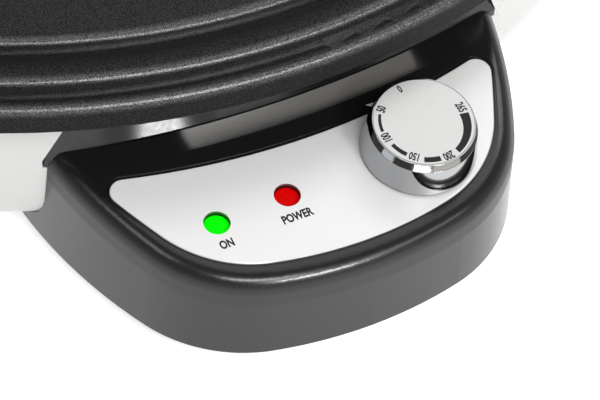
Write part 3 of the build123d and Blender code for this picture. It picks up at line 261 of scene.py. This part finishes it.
def nonstick():
    """Speckled coat, with painted shade at the foot of each step and a painted highlight along its edge.
    """
    look = Maker("nonstick_coat", Metallic=0.85)
    grain = look.noise(4200, 1.0, 0.7)
    broad = look.noise(14, 3.0, 0.6)
    base = look.ramp(grain, [(0.38, 0.016), (0.66, 0.250)])
    worn = look.mix(look.spread(broad, 0.0, 0.12), base, (0.09, 0.088, 0.080))
    # Painted highlight along each step's edge and painted shade on its riser and foot
    tone = look.ramp(look.reach_from(PLATE_CENTRE_Y, TONES_START, TONES_END), step_tones())
    shaded = look.node("ShaderNodeMix", data_type="RGBA", blend_type="MULTIPLY", Factor=1.0)
    look.tree.links.new(worn, shaded.inputs[6])
    look.tree.links.new(tone, shaded.inputs[7])
    look.link(shaded.outputs[2], "Base Color")
    look.link(look.spread(grain, 0.34, 0.48), "Roughness")
    look.link(look.bump(grain, 0.00003, 1.0), "Normal")
    return look.material


def step_tones():
    """Ramp stops of painted highlight and shade from the flat disc over the three steps to the rim."""
    stops = [(0.0, FLAT_TONE)]
    for edge in STEP_EDGES:
        for offset, tone in EDGE_HIGHLIGHT_AND_SHADE:
            share = (edge + offset - TONES_START) / (TONES_END - TONES_START)
            stops.append((share, tone))
    return stops


def white_enamel():
    look = Maker("white_enamel", Base_Color=(0.68, 0.68, 0.675, 1), Coat_Weight=0.2, Coat_Roughness=0.12)
    peel = look.noise(900, 2.0)
    look.link(look.spread(look.noise(60, 2.0), 0.24, 0.34), "Roughness")
    look.link(look.bump(peel, 0.00003, 0.4), "Normal")
    return look.material


def gloss_plastic(name, colour, low, high):
    look = Maker(name)
    cloud = look.noise(35, 3.0)
    look.link(look.mix(cloud, darker(colour, 0.8), colour), "Base Color")
    look.link(look.spread(look.noise(250, 3.0), low, high), "Roughness")
    look.link(look.bump(look.noise(420, 1.0), 0.00002, 0.25), "Normal")
    return look.material


def housing_plastic():
    """Black plastic with a fine grain and a soft hollow on both sides of the collar's crease."""
    look = Maker("black_gloss", Coat_Weight=0.1, Coat_Roughness=0.1)
    cloud = look.noise(35, 3.0)
    grain = look.noise(1300, 1.0)
    look.link(look.mix(cloud, (0.0078, 0.0078, 0.0080), (0.0104, 0.0104, 0.0106)), "Base Color")
    rougher = look.maths("MULTIPLY", look.window(look.lift(), *NOSE_SPAN), NOSE_ROUGHER)
    rough = look.node("ShaderNodeMath", {0: rougher, 1: look.spread(grain, 0.19, 0.27)}, operation="ADD")
    look.link(rough.outputs[0], "Roughness")
    reach = look.reach_from(CREASE_CENTRE_Y)
    side = look.sides().outputs["X"]
    above = look.hollow(reach, CREASE_RADIUS - COLLAR_HOLLOW, CREASE_RADIUS, COLLAR_SINK, 1.1)
    ahead = look.hollow(reach, CREASE_RADIUS + TOP_HOLLOW, CREASE_RADIUS, TOP_SINK, 1.12)
    soft = look.bump(above, 1.0, look.window(side, *COLLAR_SPAN))
    soft = look.bump(ahead, 1.0, look.window(side, *TOP_SPAN), soft)
    look.link(look.bump(grain, 0.000012, 0.5, soft), "Normal")
    return look.material


def moulded_plastic(name, colour, grain=1500):
    look = Maker(name)
    texture = look.noise(grain, 2.0, 0.6)
    lighter = tuple(min(1.0, channel * 1.25 + 0.004) for channel in colour)
    look.link(look.mix(texture, colour, lighter), "Base Color")
    look.link(look.spread(texture, 0.42, 0.6), "Roughness")
    look.link(look.bump(texture, 0.00006, 0.6), "Normal")
    return look.material


def brushed_metal(name, colour, low, high, scale, metallic=1.0):
    look = Maker(name, Metallic=metallic)
    lines = look.noise(1.0, 3.0, 0.6, look.place(scale))
    look.link(look.mix(lines, darker(colour, 0.86), colour), "Base Color")
    look.link(look.spread(lines, low, high), "Roughness")
    look.link(look.bump(lines, 0.00001, 0.5), "Normal")
    return look.material


def panel_sheet():
    """Satin aluminium, brushed from side to side, with painted shade on its cut edges and painted light
    that makes it darker towards the front.
    """
    look = Maker("panel_silver", Metallic=0.2, Anisotropic=0.3)
    lines = look.noise(1.0, 3.0, 0.6, look.place((60, 3500, 3500)))
    # Painted light: paler at the back against the plate's shade, darker at the front
    forward = look.share(look.sides().outputs["Y"], PANEL_BACK_Y, PANEL_FRONT_Y)
    tone = look.ramp(forward, [(0.0, PANEL_BACK_PAINTED_TONE), (1.0, PANEL_FRONT_PAINTED_TONE)])
    sheet = look.mix(look.spread(lines, 0.0, 0.12), tone, (0.76, 0.76, 0.765))
    # Painted shade: the cut edges and hole walls below the top face are painted near black
    face = look.share(look.lift(), *EDGE_SHADE_FADE)
    look.link(look.mix(face, (0.10, 0.10, 0.10), sheet), "Base Color")
    look.link(look.spread(lines, 0.34, 0.44), "Roughness")
    look.link(look.bump(lines, 0.00001, 0.4), "Normal")
    return look.material


def plain_metal(name, colour, low, high, grain=700):
    look = Maker(name, Metallic=1.0)
    cloud = look.noise(grain, 4.0, 0.6)
    look.link(look.mix(cloud, darker(colour, 0.82), colour), "Base Color")
    look.link(look.spread(cloud, low, high), "Roughness")
    look.link(look.bump(cloud, 0.00001, 0.4), "Normal")
    return look.material


def knob_chrome():
    """Polished chrome with a painted shadow at its foot. The bevel has a painted dark reflection and its
    shading leans back.
    """
    look = Maker("chrome", Metallic=1.0)
    cloud = look.noise(200, 4.0, 0.6)
    bevel = look.window(look.lift(), KNOB_HEIGHT - KNOB_BEVEL, KNOB_HEIGHT - KNOB_LIP, KNOB_BLUR)
    side = look.mix(cloud, (0.353, 0.357, 0.365), (0.43, 0.435, 0.445))
    # Painted reflection: the bevel is painted dark
    turned = look.mix(bevel, side, (0.15, 0.15, 0.155))
    # Painted shadow: a dark ring at the knob's foot
    foot = look.window(look.lift(), 0.0, KNOB_FOOT_SHADOW, KNOB_BLUR)
    look.link(look.mix(foot, turned, (0.03, 0.03, 0.03)), "Base Color")
    look.link(look.spread(cloud, 0.04, 0.08), "Roughness")
    lean = look.maths("MULTIPLY", look.lift(), BEVEL_LEAN)
    look.link(look.bump(lean, 1.0, bevel), "Normal")
    return look.material


def ceramic(name, colour):
    look = Maker(name)
    chalk = look.noise(1200, 3.0, 0.7)
    look.link(look.mix(chalk, darker(colour, 0.9), colour), "Base Color")
    look.link(look.spread(chalk, 0.55, 0.75), "Roughness")
    look.link(look.bump(chalk, 0.00004, 0.5), "Normal")
    return look.material


def lens_plastic(name, colour, glow):
    look = Maker(name, Specular_IOR_Level=0.05, Emission_Strength=glow)
    stipple = look.node("ShaderNodeTexVoronoi", {"Vector": look.place()}, Scale=1400).outputs["Distance"]
    shade = look.mix(stipple, darker(colour, 0.8), colour)
    look.link(shade, "Base Color")
    look.link(shade, "Emission Color")
    look.link(look.spread(stipple, 0.16, 0.3), "Roughness")
    look.link(look.bump(stipple, 0.00006, 0.5), "Normal")
    return look.material


def clear_glass():
    look = Maker("lamp_glass", Base_Color=(0.95, 0.85, 0.75, 1), Transmission_Weight=0.9, IOR=1.45)
    look.link(look.spread(look.noise(300, 2.0), 0.03, 0.1), "Roughness")
    return look.material


def ink(name, colour):
    look = Maker(name, Specular_IOR_Level=0.2)
    grain = look.noise(3000, 2.0)
    lighter = tuple(channel * 1.3 + 0.004 for channel in colour)
    look.link(look.mix(grain, colour, lighter), "Base Color")
    look.link(look.spread(grain, 0.38, 0.5), "Roughness")
    return look.material


FACE_GRAIN = (2500, 2500, 2500)
# A material for each of the record's slots
LOOKS = {
    "nonstick_plate": nonstick(),
    "element_steel": plain_metal("element_sheath", (0.26, 0.25, 0.24), 0.45, 0.6),
    "ceramic_bead": ceramic("bead_ceramic", (0.86, 0.83, 0.78)),
    "zinc_steel": plain_metal("zinc_plate", (0.60, 0.60, 0.60), 0.3, 0.45),
    "shield_steel": plain_metal("shield_sheet", (0.66, 0.66, 0.66), 0.3, 0.42, 90),
    "copper": plain_metal("copper", (0.72, 0.40, 0.26), 0.25, 0.4),
    "fuse_body": ceramic("fuse_ceramic", (0.78, 0.70, 0.52)),
    "white_paint": white_enamel(),
    "foot_rubber": moulded_plastic("foot_rubber", (0.016, 0.016, 0.016), 900),
    "bush_plastic": moulded_plastic("bush_plastic", (0.02, 0.02, 0.02)),
    "black_plastic": housing_plastic(),
    "cover_plastic": moulded_plastic("cover_plastic", (0.014, 0.014, 0.014)),
    "panel_aluminium": panel_sheet(),
    "green_lens": lens_plastic("green_lens", (0.0, 0.80, 0.0), 0.55),
    "red_lens": lens_plastic("red_lens", (0.52, 0.0, 0.0), 0.45),
    "neon_glass": clear_glass(),
    "holder_plastic": moulded_plastic("holder_plastic", (0.75, 0.75, 0.72)),
    "thermostat_plastic": moulded_plastic("thermostat_plastic", (0.10, 0.045, 0.02)),
    "plated_brass": plain_metal("plated_brass", (0.72, 0.68, 0.56), 0.22, 0.34),
    "shaft_steel": brushed_metal("shaft_steel", (0.60, 0.60, 0.60), 0.2, 0.32, (900, 900, 60)),
    "chrome": knob_chrome(),
    "satin_face": brushed_metal("face_silver", (0.71, 0.71, 0.705), 0.36, 0.44, FACE_GRAIN, 0.35),
    "terminal_plastic": moulded_plastic("terminal_plastic", (0.80, 0.79, 0.74)),
    "brown_wire": gloss_plastic("brown_sleeve", (0.11, 0.04, 0.018), 0.3, 0.4),
    "blue_wire": gloss_plastic("blue_sleeve", (0.02, 0.08, 0.38), 0.3, 0.4),
    "earth_wire": gloss_plastic("earth_sleeve", (0.22, 0.36, 0.03), 0.3, 0.4),
    "white_wire": gloss_plastic("white_sleeve", (0.78, 0.78, 0.76), 0.3, 0.4),
}
slot_of = {part["node"]: part["material_slot"] for part in frame["record"]["subparts"]}
for name, node in frame["nodes"].items():
    node.data.materials.clear()
    node.data.materials.append(LOOKS[slot_of[name]])


# Printed words, numbers and marks


def mesh_piece(name, mesh, matrix, material, body):
    piece = bpy.data.objects.new(name, mesh)
    bpy.context.scene.collection.objects.link(piece)
    piece.matrix_world = matrix
    mesh.materials.clear()
    mesh.materials.append(material)
    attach(piece, body)


def flat_mesh(name, outline):
    """A thin printed film from a closed outline in the plane."""
    made = bmesh.new()
    low = [made.verts.new((x, y, 0)) for x, y in outline]
    high = [made.verts.new((x, y, INK)) for x, y in outline]
    made.faces.new(high)
    made.faces.new(low[::-1])
    for index in range(len(outline)):
        after = (index + 1) % len(outline)
        made.faces.new((low[index], low[after], high[after], high[index]))
    bmesh.ops.recalc_face_normals(made, faces=made.faces)
    mesh = bpy.data.meshes.new(name)
    made.to_mesh(mesh)
    made.free()
    return mesh


def word_mesh(name, text, size, width, weight, turn=0.0, reach=0.0):
    """A word as a thin film, moved out by reach and then turned about the origin."""
    curve = bpy.data.curves.new(name, "FONT")
    curve.body = text
    curve.size = size
    curve.extrude = INK / 2
    curve.resolution_u = 4
    curve.offset = weight * size
    curve.align_x = "CENTER"
    curve.align_y = "CENTER"
    carrier = bpy.data.objects.new(name + "_carrier", curve)
    bpy.context.scene.collection.objects.link(carrier)
    bpy.context.view_layer.update()
    graph = bpy.context.evaluated_depsgraph_get()
    mesh = bpy.data.meshes.new_from_object(carrier.evaluated_get(graph))
    bpy.data.objects.remove(carrier)
    mesh.transform(Matrix.Diagonal((width, 1, 1, 1)))
    mesh.transform(Matrix.Translation((0, reach, INK / 2)))
    mesh.transform(Matrix.Rotation(turn, 4, "Z"))
    mesh.name = name
    return mesh


dark_ink = ink("dark_ink", (0.012, 0.012, 0.013))
white_ink = ink("white_ink", (0.80, 0.80, 0.80))

# The dial's numbers, each with its angle anticlockwise from the pointer, in degrees, and its radius
NUMBERS = (
    (0, 6.5, 0.0105),
    (50, 48.6, 0.0105),
    (100, 94.4, 0.01035),
    (150, 140.3, 0.0104),
    (200, 185.3, 0.0108),
    (265, 272.2, 0.0100),
)
NUMBER_SIZE = 0.0029
NUMBER_WIDTH = 0.62
NUMBER_WEIGHT = 0.030
dial = on_top(KNOB_X, KNOB_SETBACK, KNOB_HEIGHT)
for number, angle, radius in NUMBERS:
    name = f"dial_{number}"
    turn = math.radians(angle)
    mesh = word_mesh(name, str(number), NUMBER_SIZE, NUMBER_WIDTH, NUMBER_WEIGHT, turn, radius)
    mesh_piece(name, mesh, dial, dark_ink, "knob")

# Heat arcs between the numbers: start and end angle, and the inner and outer radius at each, in metres
ARCS = (
    (57, 84, (0.0103, 0.0110), (0.0102, 0.0110)),
    (107, 130, (0.0100, 0.0110), (0.0101, 0.0112)),
    (153, 174, (0.0102, 0.0116), (0.0102, 0.0116)),
    (199, 262, (0.0102, 0.0117), (0.0089, 0.0112)),
)
ARC_STEPS = 24
for index, (start, end, first, last) in enumerate(ARCS):
    inner = []
    outer = []
    for step in range(ARC_STEPS + 1):
        share = step / ARC_STEPS
        angle = math.radians(start + (end - start) * share + 90)
        for ring, near, far in ((inner, first[0], last[0]), (outer, first[1], last[1])):
            radius = near + (far - near) * share
            ring.append((radius * math.cos(angle), radius * math.sin(angle)))
    name = f"heat_arc_{index + 1}"
    mesh = flat_mesh(name, outer + inner[::-1])
    mesh_piece(name, mesh, dial, dark_ink, "knob")

# Legends under the lamps, each with its x and its distance behind the front, and the pointer
LEGENDS = (("ON", -0.0310, 0.0181), ("POWER", -0.0123, 0.01885))
LEGEND_SIZE = 0.0031
LEGEND_WIDTH = 0.72
LEGEND_WEIGHT = 0.037
for text, x, setback in LEGENDS:
    name = f"legend_{text.lower()}"
    mesh = word_mesh(name, text, LEGEND_SIZE, LEGEND_WIDTH, LEGEND_WEIGHT)
    mesh_piece(name, mesh, on_top(x, setback, PANEL_PROUD), dark_ink, "body")
POINTER_HALF = 0.0062
POINTER_DEPTH = 0.0048
POINTER_BACK = 0.0413
mesh = flat_mesh("pointer", [(-POINTER_HALF, 0), (0, -POINTER_DEPTH), (POINTER_HALF, 0)])
mesh_piece("pointer_mark", mesh, on_top(KNOB_X, POINTER_BACK), white_ink, "body")

# Floor, studio and camera

FLOOR_SIZE = 6.0
FLOOR_GLOW = 0.70


def floor():
    """A pale floor that glows a little for the camera and in reflections, and keeps its shadows."""
    made = bmesh.new()
    half = FLOOR_SIZE / 2
    corners = [made.verts.new((x * half, y * half, 0)) for x, y in ((-1, -1), (1, -1), (1, 1), (-1, 1))]
    made.faces.new(corners)
    mesh = bpy.data.meshes.new("floor")
    made.to_mesh(mesh)
    made.free()
    piece = bpy.data.objects.new("floor", mesh)
    bpy.context.scene.collection.objects.link(piece)
    look = Maker("floor_white", Base_Color=(0.80, 0.80, 0.80, 1), Roughness=0.9, Specular_IOR_Level=0.1)
    path = look.node("ShaderNodeLightPath")
    seen = path.outputs["Is Camera Ray"]
    for ray in ("Is Glossy Ray", "Is Transmission Ray"):
        either = look.node("ShaderNodeMath", {0: seen, 1: path.outputs[ray]}, operation="MAXIMUM")
        seen = either.outputs[0]
    look.shader.inputs["Emission Color"].default_value = (1, 1, 1, 1)
    look.link(look.maths("MULTIPLY", seen, FLOOR_GLOW), "Emission Strength")
    mesh.materials.append(look.material)


# The point that the softboxes face
AIM = Vector((0, -0.12, 0.04))
# How bright the studio's walls and ceiling are, from level to straight up
SKY_TONES = ((0.0, 0.8), (0.25, 0.6), (0.55, 0.28), (0.9, 0.2))


def softbox(name, direction, distance, size, brightness, colour=(1, 1, 1), shape="RECTANGLE"):
    """A softbox of even brightness that faces AIM from a direction, at a distance in metres."""
    place = AIM + Vector(direction).normalized() * distance
    light = bpy.data.lights.new(name, "AREA")
    light.shape = shape
    light.size, light.size_y = size
    light.energy = brightness * math.pi * size[0] * size[1]
    light.color = colour
    lamp = bpy.data.objects.new(name, light)
    bpy.context.scene.collection.objects.link(lamp)
    lamp.location = place
    lamp.rotation_mode = "QUATERNION"
    lamp.rotation_quaternion = (AIM - place).to_track_quat("-Z", "Y")


def sky():
    world = bpy.data.worlds.new("studio")
    bpy.context.scene.world = world
    world.use_nodes = True
    tree = world.node_tree
    background = tree.nodes["Background"]
    place = tree.nodes.new("ShaderNodeTexCoord")
    split = tree.nodes.new("ShaderNodeSeparateXYZ")
    ramp = tree.nodes.new("ShaderNodeValToRGB")
    tree.links.new(place.outputs["Generated"], split.inputs[0])
    tree.links.new(split.outputs["Z"], ramp.inputs["Fac"])
    fill_ramp(ramp.color_ramp, SKY_TONES)
    tree.links.new(ramp.outputs["Color"], background.inputs["Color"])
    background.inputs["Strength"].default_value = 1.0


floor()
sky()
WARM = (1.0, 0.96, 0.87)
COOL = (0.90, 0.95, 1.0)
softbox("key_front", (-0.08, -0.55, 0.83), 1.8, (0.75, 0.36), 13)
softbox("key_spot", (0.155, -0.784, 0.598), 1.8, (0.46, 0.16), 46, shape="ELLIPSE")
softbox("warm_right", (0.25, -0.687, 0.68), 1.9, (1.6, 0.45), 2.6, WARM)
softbox("cool_left", (-0.50, -0.03, 0.86), 1.8, (0.5, 0.5), 3.0, COOL)
softbox("edge_right", (0.63, 0.32, 0.71), 1.8, (0.60, 0.60), 2.8)
softbox("overhead", (0.31, 0.36, 0.88), 2.0, (1.2, 1.2), 1.0)

camera_data = bpy.data.cameras.new("camera")
camera_data.sensor_width = SENSOR
camera_data.lens = LENS
camera_data.clip_start = 0.01
camera_data.clip_end = 50
camera = bpy.data.objects.new("camera", camera_data)
bpy.context.scene.collection.objects.link(camera)
camera.matrix_world = matrix_of(CAMERA_RIGHT, CAMERA_UP, CAMERA_BACK, CAMERA_PLACE)
bpy.context.scene.camera = camera
bpy.context.scene.view_settings.view_transform = "Standard"
